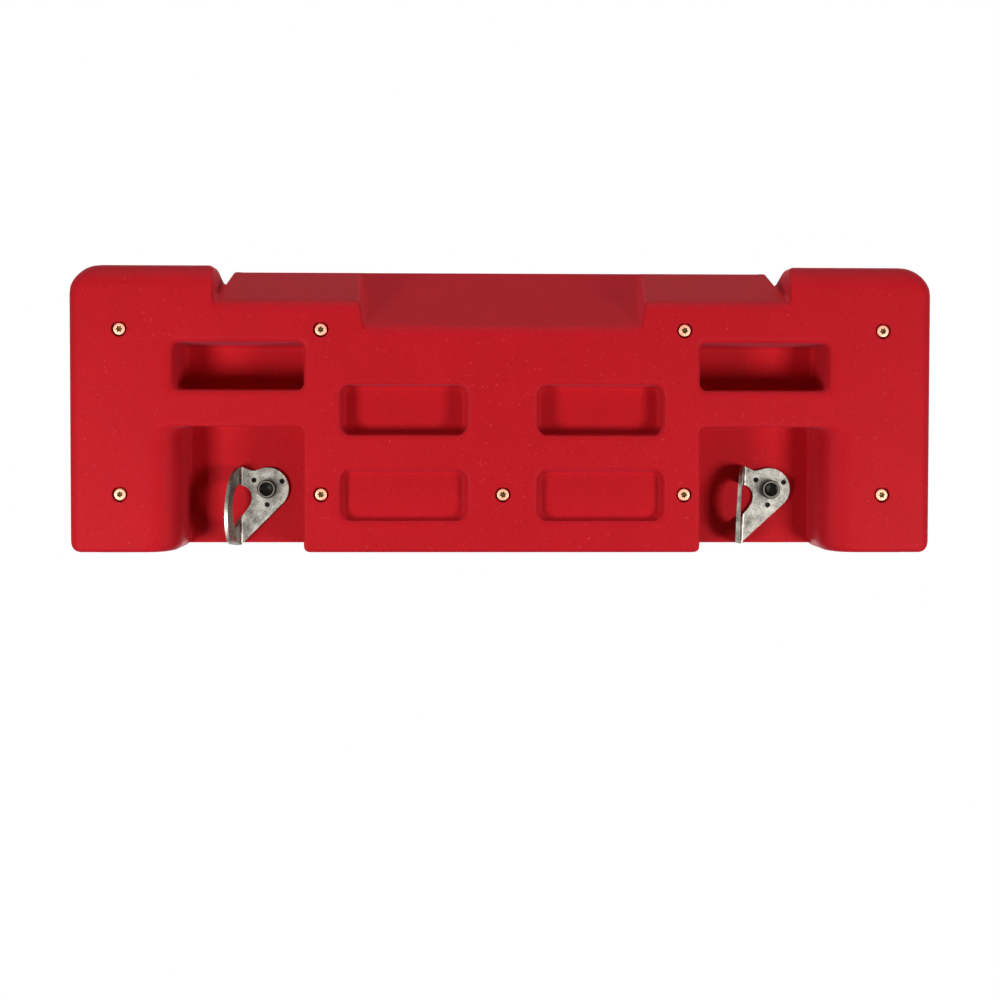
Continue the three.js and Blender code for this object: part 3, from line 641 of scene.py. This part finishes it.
class HANGBOARD_OT_wood_screws(bpy.types.Operator):
    """Builds the countersunk wood screws with star drives and cut threads"""
    bl_idname = "hangboard.wood_screws"
    bl_label = "Wood screws"

    def execute(self, context):
        fixings = context.scene.hangboard_fixings
        head = low_corner(SCREW_NODES[0]).y
        # Rose heads: partly the zinc's own tint, partly a painted reflection of the red board
        rubbed = (head + HEAD_FACE_SPAN[0], head + HEAD_FACE_SPAN[1], fixings.head_tint_and_reflection)
        zinc = plated_steel(
            "yellow_zinc_plated_steel", "#b3935a", fixings.zinc_colour,
            roughness=0.5, blotch_mm=3.0, front=rubbed)
        for i, node in enumerate(SCREW_NODES):
            low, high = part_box(node)
            x, _, z = middle(node)
            mesh = bmesh.new()
            self.body(mesh, fixings, low.y, high.y, (high.x - low.x) / 2)
            # No two screws stop at the same turn
            turn = Matrix.Rotation(math.radians(SCREW_TURN_DEGREES * i), 4, "Y")
            place = Matrix.Translation((x, 0, z)) @ turn
            bmesh.ops.transform(mesh, verts=mesh.verts, matrix=place)
            screw = into_object(mesh, f"threaded_wood_screw_{i + 1}")
            shade(screw)
            fit(screw, node, "board", zinc)
        return {"FINISHED"}

    def body(self, mesh, fixings, head, tip, head_radius):
        root = fixings.thread_root
        thread_start = tip - THREAD_LENGTH
        cone_start = tip - POINT_LENGTH
        neck = head + HEAD_RIM[-1][1] + head_radius - SHANK_RADIUS

        def star(angle):
            return STAR_RADIUS + STAR_LOBE * math.cos(6 * angle)

        def star_floor(angle):
            return STAR_FLOOR_SHARE * star(angle)

        def star_mouth(angle):
            return star(angle) + STAR_BEVEL

        # Painted shade in the star recess
        grime = mesh.verts.layers.float.new("grime")
        stacked(mesh, [
            (BLUNT_POINT, head + STAR_POINT_DEPTH),
            (star_floor, head + STAR_DEPTH),
            (star, head + STAR_BEVEL),
            (star_mouth, head),
            *((head_radius - inset, head + drop) for inset, drop in HEAD_RIM),
            (SHANK_RADIUS + NECK_STEP, neck - NECK_STEP),
            (SHANK_RADIUS, neck + NECK_LENGTH),
            (SHANK_RADIUS, thread_start),
            (root, thread_start + THREAD_TAPER),
            (root, cone_start),
            (POINT_TIP[0], tip - POINT_TIP[1]),
        ], SCREW_STEPS)
        body = set(mesh.verts)
        for vert in body:
            vert[grime] = float(
                math.hypot(vert.co.x, vert.co.z) < STAR_SHADE_REACH
                and STAR_SHADE_SPAN[0] < vert.co.y - head < STAR_SHADE_SPAN[1])
        self.thread(mesh, fixings, thread_start + THREAD_RUN_IN, tip)
        for vert in mesh.verts:
            if vert in body or vert.co.y < cone_start:
                continue
            share = max(0.0, (tip - vert.co.y) / (tip - cone_start))
            vert.co.x *= share
            vert.co.z *= share
        outward(mesh)

    def thread(self, mesh, fixings, start, tip):
        """A thread of one cut, wound round the core from start to near the tip."""
        foot = fixings.thread_root - THREAD_SINK
        flank = [
            (foot, -THREAD_FOOT), (THREAD_CREST, -THREAD_EDGE),
            (THREAD_CREST, THREAD_EDGE), (foot, THREAD_FOOT),
        ]
        corners = [mesh.verts.new((radius, start + y, 0)) for radius, y in flank]
        edges = [mesh.edges.new((corners[i - 1], corners[i])) for i in range(len(corners))]
        turns = (tip - THREAD_RUN_OUT - start) / fixings.thread_pitch
        steps = int(turns * THREAD_STEPS)
        bmesh.ops.spin(
            mesh, geom=corners + edges, cent=(0, 0, 0), axis=(0, 1, 0),
            dvec=(0, fixings.thread_pitch * turns / steps, 0), angle=turns * 2 * math.pi,
            steps=steps, use_merge=False)
        open_edges = [edge for edge in mesh.edges if edge.is_boundary]
        bmesh.ops.holes_fill(mesh, edges=open_edges, sides=0)


# Hangers

# Ear outline: share of the reach, then share of the full height up from the foot
EAR_SHARES = [
    (0, 1), (0.29, 0.971), (0.556, 0.911), (0.72, 0.816), (0.86, 0.7), (0.966, 0.56),
    (1, 0.405), (0.97, 0.245), (0.87, 0.112), (0.69, 0.038), (0.42, 0.008), (0, 0),
]
# Eye outline in the plate: share of its reach, then share of the height up from the bend foot
EYE_PLATE_SHARES = [
    (0, 1), (0.5, 0.93), (0.87, 0.8), (1, 0.645), (0.93, 0.465), (0.62, 0.27), (0.2, 0.09), (0, 0),
]
# Eye outline in the ear: share of its reach, then share of the height up from the lowest point
EYE_EAR_SHARES = [
    (0, 0.215), (0.3, 0.045), (0.58, 0), (0.86, 0.105), (0.99, 0.33), (0.98, 0.575),
    (0.83, 0.8), (0.58, 0.945), (0.3, 1.005), (0, 1),
]
HANGER_TOP = 18.5 * MM
HANGER_FOOT = 47.9 * MM
HANGER_HEAD = 17.8 * MM
HANGER_DIP = (12.7 * MM, 15 * MM)
EAR_REACH = 32 * MM
EYE_TOP = 3.1 * MM
EYE_BEND_FOOT = 24.7 * MM
EYE_LOWEST = 32.3 * MM
EYE_PLATE_REACH = 9.2 * MM
EYE_EAR_REACH = 20.3 * MM
BOLT_HOLE = 6 * MM
VENT_HOLE = 2.25 * MM
VENT_CIRCLE = 13.7 * MM
VENT_DEGREES = (27, 148, 268)
# A vent's dark disc of painted shade: radius and thickness, and the reach of the sheet's painted
# shade
VENT_SHADE_DISC = 2.65 * MM
VENT_SHADE_DISC_THICKNESS = 0.6 * MM
VENT_SHADE_REACH = 2.75 * MM
# First and last direction of the arc round the hanger's head
HEAD_DEGREES = (113, -45)
HEAD_STEPS = 24
DIP_STEPS = 12
EAR_STEPS = 60
EYE_PLATE_STEPS = 30
EYE_EAR_STEPS = 46
BOLT_HOLE_STEPS = 48
VENT_STEPS = 24
BEND_CUTS = 14


class HANGBOARD_OT_hangers(bpy.types.Operator):
    """Builds the bolt hangers, cut flat and then bent, with tumbled edges"""
    bl_idname = "hangboard.hangers"
    bl_label = "Bolt hangers"

    def execute(self, context):
        hanger = context.scene.hangboard_hanger
        steel = tumbled_stainless(hanger)
        for side in SIDES:
            mesh = self.pattern(hanger)
            outward(mesh)
            # The bend mirrors the pattern, which turns its faces inside out
            self.bend(mesh, hanger)
            bmesh.ops.reverse_faces(mesh, faces=mesh.faces)
            turn = hanger.right_turn if side == "right" else 0.0
            bolt = middle(f"cap_screw_{side}")
            back = high_corner(f"hanger_{side}").y
            place = Matrix.Translation((bolt.x, back, bolt.z)) @ Matrix.Rotation(turn, 4, "Y")
            bmesh.ops.transform(mesh, verts=mesh.verts, matrix=place)
            plate = into_object(mesh, f"bent_hanger_{side}")
            edge = plate.modifiers.new("tumbled edges", "BEVEL")
            edge.width = hanger.edge
            edge.segments = 3
            edge.limit_method = "ANGLE"
            edge.angle_limit = math.radians(50)
            bake(plate)
            shade(plate, degrees=60)
            plate.modifiers.new("flat faces stay flat", "WEIGHTED_NORMAL").keep_sharp = True
            fit(plate, f"hanger_{side}", f"hanger_{side}", steel)
        return {"FINISHED"}

    def pattern(self, hanger):
        """The flat pattern: X runs from the bolt towards the ear, along the sheet's front face."""
        corner = hanger.bend_offset
        full = HANGER_TOP + HANGER_FOOT
        first, last = HEAD_DEGREES
        head = []
        for step in range(HEAD_STEPS + 1):
            angle = math.radians(first - (first - last) * step / HEAD_STEPS)
            head.append((-HANGER_HEAD * math.cos(angle), HANGER_HEAD * math.sin(angle)))
        dip = catmull_rom([
            (corner, HANGER_TOP),
            ((HANGER_DIP[0] + corner) / 2, (HANGER_DIP[1] + HANGER_TOP) / 2),
            HANGER_DIP, head[0],
        ], DIP_STEPS)
        ear = catmull_rom([
            (corner + reach * EAR_REACH, rise * full - HANGER_FOOT) for reach, rise in EAR_SHARES
        ], EAR_STEPS)
        plate_eye = catmull_rom([
            (corner - reach * EYE_PLATE_REACH, rise * (EYE_TOP + EYE_BEND_FOOT) - EYE_BEND_FOOT)
            for reach, rise in EYE_PLATE_SHARES
        ], EYE_PLATE_STEPS)
        ear_eye = catmull_rom([
            (corner + reach * EYE_EAR_REACH, rise * (EYE_TOP + EYE_LOWEST) - EYE_LOWEST)
            for reach, rise in EYE_EAR_SHARES
        ], EYE_EAR_STEPS)
        loops = [dip[:-1] + head + list(reversed(ear))[:-1], plate_eye[:-1] + ear_eye[:-1]]
        vents = []
        for degrees in VENT_DEGREES:
            angle = math.radians(degrees)
            vents.append((-VENT_CIRCLE * math.cos(angle), VENT_CIRCLE * math.sin(angle)))
        holes = [(0, 0, BOLT_HOLE, BOLT_HOLE_STEPS)]
        holes += [(x, z, VENT_HOLE, VENT_STEPS) for x, z in vents]
        mesh = bmesh.new()
        for loop in loops:
            corners = [mesh.verts.new((x, 0, z)) for x, z in loop]
            for i in range(len(corners)):
                mesh.edges.new((corners[i - 1], corners[i]))
        for x, z, radius, steps in holes:
            made = ring(mesh, radius, 0, steps)
            verts = {vert for edge in made for vert in edge.verts}
            bmesh.ops.translate(mesh, verts=list(verts), vec=(x, 0, z))
        bmesh.ops.triangle_fill(mesh, use_beauty=True, use_dissolve=False, edges=mesh.edges)
        start, end = self.bend_span(hanger)
        for i in range(BEND_CUTS + 1):
            x = start + (end - start) * i / BEND_CUTS
            bmesh.ops.bisect_plane(
                mesh, geom=mesh.verts[:] + mesh.edges[:] + mesh.faces[:], dist=WELD,
                plane_co=(x, 0, 0), plane_no=(1, 0, 0))
        grown = bmesh.ops.extrude_face_region(mesh, geom=mesh.faces[:])["geom"]
        fresh = [item for item in grown if isinstance(item, bmesh.types.BMVert)]
        bmesh.ops.translate(mesh, verts=fresh, vec=(0, hanger.thickness, 0))
        self.paint_shade(mesh, hanger, vents)
        return mesh

    def paint_shade(self, mesh, hanger, vents):
        """Puts painted shade in the vents, with a dark disc behind each, and on the bend."""
        turn = Matrix.Rotation(math.pi / 2, 4, "X")
        for x, z in vents:
            spot = Matrix.Translation((x, hanger.thickness - VENT_SHADE_DISC_THICKNESS, z))
            bmesh.ops.create_cone(
                mesh, cap_ends=True, segments=VENT_STEPS, radius1=VENT_SHADE_DISC, radius2=VENT_SHADE_DISC,
                depth=VENT_SHADE_DISC_THICKNESS, matrix=spot @ turn)
        start, end = self.bend_span(hanger)
        grime = mesh.verts.layers.float.new("grime")
        for vert in mesh.verts:
            # Painted shade and dark reflection, growing through the bend and full on the ear's inner
            # face
            if vert.co.y <= hanger.thickness / 2:
                into_bend = min(1.0, max(0.0, (vert.co.x - start) / (end - start)))
                vert[grime] = hanger.bend_painted_shade * into_bend
            # Painted shade in the vents and on their discs
            elif any(
                math.hypot(vert.co.x - x, vert.co.z - z) < VENT_SHADE_REACH for x, z in vents
            ):
                vert[grime] = 1.0

    def bend_span(self, hanger):
        turn = math.pi / 2 - hanger.ear_lean
        tangent = hanger.bend_radius * math.tan(turn / 2)
        return hanger.bend_offset - tangent, hanger.bend_offset + tangent

    def bend(self, mesh, hanger):
        """Rolls the flat pattern round its bend; the plate's back face ends at Y zero."""
        start, end = self.bend_span(hanger)
        turn = math.pi / 2 - hanger.ear_lean
        centre = Vector((-start, -hanger.thickness - hanger.bend_radius))
        for vert in mesh.verts:
            along, depth, z = vert.co
            if along <= start:
                vert.co = (-along, depth - hanger.thickness, z)
                continue
            angle = turn * min(1.0, (along - start) / (end - start))
            out = Vector((-math.sin(angle), math.cos(angle)))
            on = Vector((-math.cos(angle), -math.sin(angle)))
            spot = centre + out * (hanger.bend_radius + depth) + on * max(0.0, along - end)
            vert.co = (spot.x, spot.y, z)


# Cap screws and inserts

CAP_HEAD_HEIGHT = 10 * MM
CAP_SHANK = 4.75 * MM
CAP_END_CHAMFER = 0.9 * MM
# Rim of the head: how far in from its edge, and how far behind its face
CAP_RIM = ((0.95 * MM, 0), (0.3 * MM, 0.8 * MM), (0.14 * MM, 1.2 * MM))
CAP_SEAT_CHAMFER = 0.3 * MM
# Where the head's face is painted lighter as a highlight, fading out over a span behind it
FACE_HIGHLIGHT_SPAN = (0.08 * MM, 0.3 * MM)
# Mouth of the socket: its radius, and how far behind the face
SOCKET_MOUTH = ((5.7 * MM, 0.35 * MM), (6 * MM, 0))
SOCKET_FLATS = 8 * MM
SOCKET_START = 1 * MM
SOCKET_DEPTH = 5 * MM
SOCKET_POINT_DEPTH = 5.6 * MM
SOCKET_POINT = 0.3 * MM
KNURLS = 48
KNURL_DEPTH = 0.14 * MM
# How far the knurl starts behind the face, and ends before the seat
KNURL_START = 1.6 * MM
KNURL_END = 0.7 * MM


class HANGBOARD_OT_cap_screws(bpy.types.Operator):
    """Builds the socket head cap screws with knurled heads"""
    bl_idname = "hangboard.cap_screws"
    bl_label = "Cap screws"

    def execute(self, context):
        fixings = context.scene.hangboard_fixings
        face = low_corner("cap_screw_left").y
        # Painted highlight: a lighter ring on the head's face
        worn = (face + FACE_HIGHLIGHT_SPAN[0], face + FACE_HIGHLIGHT_SPAN[1], fixings.face_highlight_colour)
        oxide = plated_steel(
            "black_oxide_steel", "#0e0d0c", fixings.cap_colour,
            roughness=0.36, blotch_mm=2.0, front=worn)

        def hexagon(angle):
            off = (angle + math.pi / 6) % (math.pi / 3) - math.pi / 6
            return SOCKET_FLATS / 2 / math.cos(off)

        for side in SIDES:
            node = f"cap_screw_{side}"
            low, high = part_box(node)
            x, _, z = middle(node)
            radius = (high.x - low.x) / 2
            seat = low.y + CAP_HEAD_HEIGHT

            def knurled(angle):
                return radius - KNURL_DEPTH * (1 - math.cos(KNURLS * angle)) / 2

            mesh = bmesh.new()
            stacked(mesh, [
                (SOCKET_POINT, low.y + SOCKET_POINT_DEPTH),
                (hexagon, low.y + SOCKET_DEPTH),
                (hexagon, low.y + SOCKET_START),
                *((reach, low.y + drop) for reach, drop in SOCKET_MOUTH),
                *((radius - inset, low.y + drop) for inset, drop in CAP_RIM),
                (knurled, low.y + KNURL_START),
                (knurled, seat - KNURL_END),
                (radius - CAP_SEAT_CHAMFER, seat),
                (CAP_SHANK, seat),
                (CAP_SHANK, high.y - CAP_END_CHAMFER),
                (CAP_SHANK - CAP_END_CHAMFER, high.y),
            ], 2 * KNURLS)
            outward(mesh)
            bmesh.ops.translate(mesh, verts=mesh.verts, vec=(x, 0, z))
            screw = into_object(mesh, f"socket_cap_screw_{side}")
            shade(screw)
            fit(screw, node, "board", oxide)
        return {"FINISHED"}


INSERT_STEPS = 64
INSERT_EDGE = 0.2 * MM
INSERT_FRONT_CHAMFER = 0.4 * MM
INSERT_BACK_CHAMFER = 0.5 * MM
# Width and height of the slope where the barrel meets the flange
INSERT_FILLET = (0.75 * MM, 0.8 * MM)
PRONGS = 4
PRONG_LENGTH = 7 * MM
PRONG_FLATNESS = 0.45
# How far a prong's middle is below the flange, and in from the flange's edge
PRONG_DROP = 3 * MM
PRONG_INSET = 1.6 * MM


class HANGBOARD_OT_inserts(bpy.types.Operator):
    """Builds the flanged threaded inserts in the back of the board"""
    bl_idname = "hangboard.inserts"
    bl_label = "Threaded inserts"

    def execute(self, context):
        zinc = plated_steel(
            "bright_zinc_plated_steel", "#8d9196", "#c9ccd0", roughness=0.32, blotch_mm=4.0)
        lie = Matrix.Rotation(math.pi / 2, 4, "X")
        for side in SIDES:
            node = f"threaded_insert_{side}"
            low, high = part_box(node)
            x, _, z = middle(node)
            flange = (high.x - low.x) / 2
            under = high.y - INSERT_FLANGE
            mesh = bmesh.new()
            stacked(mesh, [
                (INSERT_BORE, high.y - INSERT_BACK_CHAMFER),
                (INSERT_BORE, low.y + INSERT_FRONT_CHAMFER),
                (INSERT_BORE + INSERT_FRONT_CHAMFER, low.y),
                (INSERT_BARREL - INSERT_EDGE, low.y),
                (INSERT_BARREL, low.y + INSERT_EDGE),
                (INSERT_BARREL, under - INSERT_FILLET[1]),
                (INSERT_BARREL + INSERT_FILLET[0], under),
                (flange - INSERT_EDGE, under),
                (flange, under + INSERT_EDGE),
                (flange, high.y - INSERT_EDGE),
                (flange - INSERT_EDGE, high.y),
                (INSERT_BORE + INSERT_BACK_CHAMFER, high.y),
            ], INSERT_STEPS, closed=True)
            for i in range(PRONGS):
                turn = Matrix.Rotation((i + 0.5) * 2 * math.pi / PRONGS, 4, "Y")
                prong = bmesh.ops.create_cone(
                    mesh, cap_ends=True, segments=4, radius1=1.7 * MM, radius2=0.3 * MM,
                    depth=PRONG_LENGTH, matrix=lie)["verts"]
                bmesh.ops.scale(mesh, verts=prong, vec=(1, 1, PRONG_FLATNESS))
                bmesh.ops.translate(
                    mesh, verts=prong, vec=(0, under - PRONG_DROP, flange - PRONG_INSET))
                bmesh.ops.transform(mesh, verts=prong, matrix=turn)
            outward(mesh)
            bmesh.ops.translate(mesh, verts=mesh.verts, vec=(x, 0, z))
            insert = into_object(mesh, f"flanged_insert_{side}")
            shade(insert)
            fit(insert, node, "board", zinc)
        return {"FINISHED"}


# Studio

CAMERA_PLACE = (-0.03242, -1.36922, -0.00609)
CAMERA_YAW = math.radians(1.34)
CAMERA_PITCH = math.radians(-1.63)
CAMERA_ROLL = math.radians(0.106)
CAMERA_LENS = 56.99
CAMERA_SHIFT = -0.0387
LAMP_PLACES = {
    "left": (-0.75, -0.87, -0.32), "right": (0.75, -0.87, -0.32),
    "top": (0, -0.35, 1.2), "back": (0, 1.3, -0.35),
}


class HANGBOARD_OT_studio(bpy.types.Operator):
    """Sets up the floor, the world, the four soft lamps and the camera"""
    bl_idname = "hangboard.studio"
    bl_label = "Studio"

    def execute(self, context):
        studio = context.scene.hangboard_studio
        scene = context.scene
        scene.view_settings.view_transform = "Standard"
        self.camera(scene)
        self.lamps(scene, studio)
        self.world(scene, studio)
        self.floor(studio)
        return {"FINISHED"}

    def camera(self, scene):
        data = bpy.data.cameras.new("camera")
        data.lens = CAMERA_LENS
        data.sensor_width = 36.0
        data.shift_y = CAMERA_SHIFT
        data.clip_end = 50
        camera = bpy.data.objects.new("camera", data)
        turn = (
            Matrix.Rotation(-CAMERA_YAW, 4, "Z")
            @ Matrix.Rotation(math.pi / 2 + CAMERA_PITCH, 4, "X")
            @ Matrix.Rotation(CAMERA_ROLL, 4, "Z")
        )
        camera.matrix_world = Matrix.Translation(CAMERA_PLACE) @ turn
        scene.collection.objects.link(camera)
        scene.camera = camera

    def lamps(self, scene, studio):
        for side, place in LAMP_PLACES.items():
            data = bpy.data.lights.new(f"lamp_{side}", "AREA")
            data.energy = getattr(studio, f"{side}_energy")
            data.size = studio.lamp_size if side in SIDES else studio.top_size
            lamp = bpy.data.objects.new(f"lamp_{side}", data)
            aim = Vector((0, 0, 0)) - Vector(place)
            turn = aim.to_track_quat("-Z", "Y").to_matrix().to_4x4()
            lamp.matrix_world = Matrix.Translation(place) @ turn
            scene.collection.objects.link(lamp)

    def world(self, scene, studio):
        """White where it is seen or mirrored, and a soft grey light from all round."""
        world = bpy.data.worlds.new("studio")
        scene.world = world
        world.use_nodes = True
        tree = world.node_tree
        tree.nodes.clear()
        seen = self.seen(tree)
        level = add(tree, "ShaderNodeMix", {0: seen, 2: studio.ambient, 3: 1.0})
        background = add(tree, "ShaderNodeBackground", {
            "Color": (1, 1, 1, 1), "Strength": level.outputs[0],
        })
        add(tree, "ShaderNodeOutputWorld", {"Surface": background.outputs[0]})

    def seen(self, tree):
        """One where a ray comes from the camera, a mirror or glass, and otherwise zero."""
        path = add(tree, "ShaderNodeLightPath")
        mirrored = add(tree, "ShaderNodeMath", {
            0: path.outputs["Is Camera Ray"], 1: path.outputs["Is Glossy Ray"],
        }, operation="MAXIMUM")
        return add(tree, "ShaderNodeMath", {
            0: mirrored.outputs[0], 1: path.outputs["Is Transmission Ray"],
        }, operation="MAXIMUM").outputs[0]

    def floor(self, studio):
        mesh = bmesh.new()
        bmesh.ops.create_circle(
            mesh, cap_ends=True, segments=96, radius=9.0,
            matrix=Matrix.Translation((0, 0, -studio.floor_drop)))
        floor = into_object(mesh, "floor")
        material, tree, shader, _ = new_material("white_painted_floor", Roughness=0.8)
        shader.inputs["Base Color"].default_value = linear("#e9e9e7")
        white = add(tree, "ShaderNodeEmission", {"Color": (1, 1, 1, 1), "Strength": 1.0})
        mixed = add(tree, "ShaderNodeMixShader", {
            0: self.seen(tree), 1: shader.outputs[0], 2: white.outputs[0],
        })
        output = tree.nodes["Material Output"]
        tree.links.new(mixed.outputs[0], output.inputs["Surface"])
        floor.data.materials.append(material)


class HANGBOARD_PT_panel(bpy.types.Panel):
    """Lists the hangboard's operators and their sizes"""
    bl_idname = "HANGBOARD_PT_panel"
    bl_label = "Hangboard"
    bl_space_type = "VIEW_3D"
    bl_region_type = "UI"
    bl_category = "Hangboard"

    def draw(self, context):
        scene = context.scene
        for group, operators in PANEL_ROWS:
            box = self.layout.box()
            for operator in operators:
                box.operator(operator.bl_idname)
            settings = getattr(scene, group)
            for name in settings.bl_rna.properties.keys():
                if name not in ("name", "rna_type"):
                    box.prop(settings, name)


GROUPS = {
    "hangboard_board": HangboardBoard,
    "hangboard_hanger": HangboardHanger,
    "hangboard_fixings": HangboardFixings,
    "hangboard_studio": HangboardStudio,
}
PANEL_ROWS = (
    ("hangboard_studio", (HANGBOARD_OT_studio,)),
    ("hangboard_board", (HANGBOARD_OT_board,)),
    ("hangboard_hanger", (HANGBOARD_OT_hangers,)),
    ("hangboard_fixings", (
        HANGBOARD_OT_wood_screws, HANGBOARD_OT_cap_screws, HANGBOARD_OT_inserts)),
)
CLASSES = (
    *GROUPS.values(),
    *(operator for _, operators in PANEL_ROWS for operator in operators),
    HANGBOARD_PT_panel,
)


def register():
    for cls in CLASSES:
        bpy.utils.register_class(cls)
    for name, group in GROUPS.items():
        setattr(bpy.types.Scene, name, PointerProperty(type=group))


def unregister():
    for name in GROUPS:
        delattr(bpy.types.Scene, name)
    for cls in reversed(CLASSES):
        bpy.utils.unregister_class(cls)


def main():
    register()
    bpy.ops.hangboard.studio()
    bpy.ops.hangboard.board()
    bpy.ops.hangboard.hangers()
    bpy.ops.hangboard.cap_screws()
    bpy.ops.hangboard.inserts()
    bpy.ops.hangboard.wood_screws()
    bpy.context.view_layer.update()


if __name__ == "__main__":
    main()
